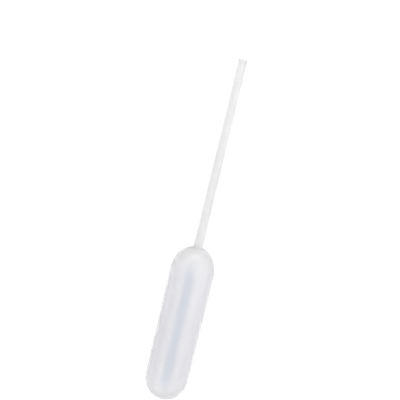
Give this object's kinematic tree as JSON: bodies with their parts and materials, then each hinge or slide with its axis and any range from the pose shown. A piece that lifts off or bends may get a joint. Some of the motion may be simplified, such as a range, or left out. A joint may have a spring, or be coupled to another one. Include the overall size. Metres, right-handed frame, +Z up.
{
  "type": "plastic dropper pipette",
  "caption": "One-piece translucent plastic dropper pipette: a squeeze bulb with a round end, a domed shoulder and a slender tapered stem with an open tip.",
  "frame": {"origin": "on the surface that the pipette lies on, under the middle of its length; the bulb's lowest line touches that surface", "axes": "+X along the pipette's axis, from the bulb's closed round end to the open tip; +Z up, square to the surface"},
  "size_m": [0.125, 0.015, 0.015],
  "materials": {
    "natural_polyethylene": "satin"
  },
  "bodies": {
    "root": {"pipette": "natural_polyethylene"}
  },
  "joints": []
}
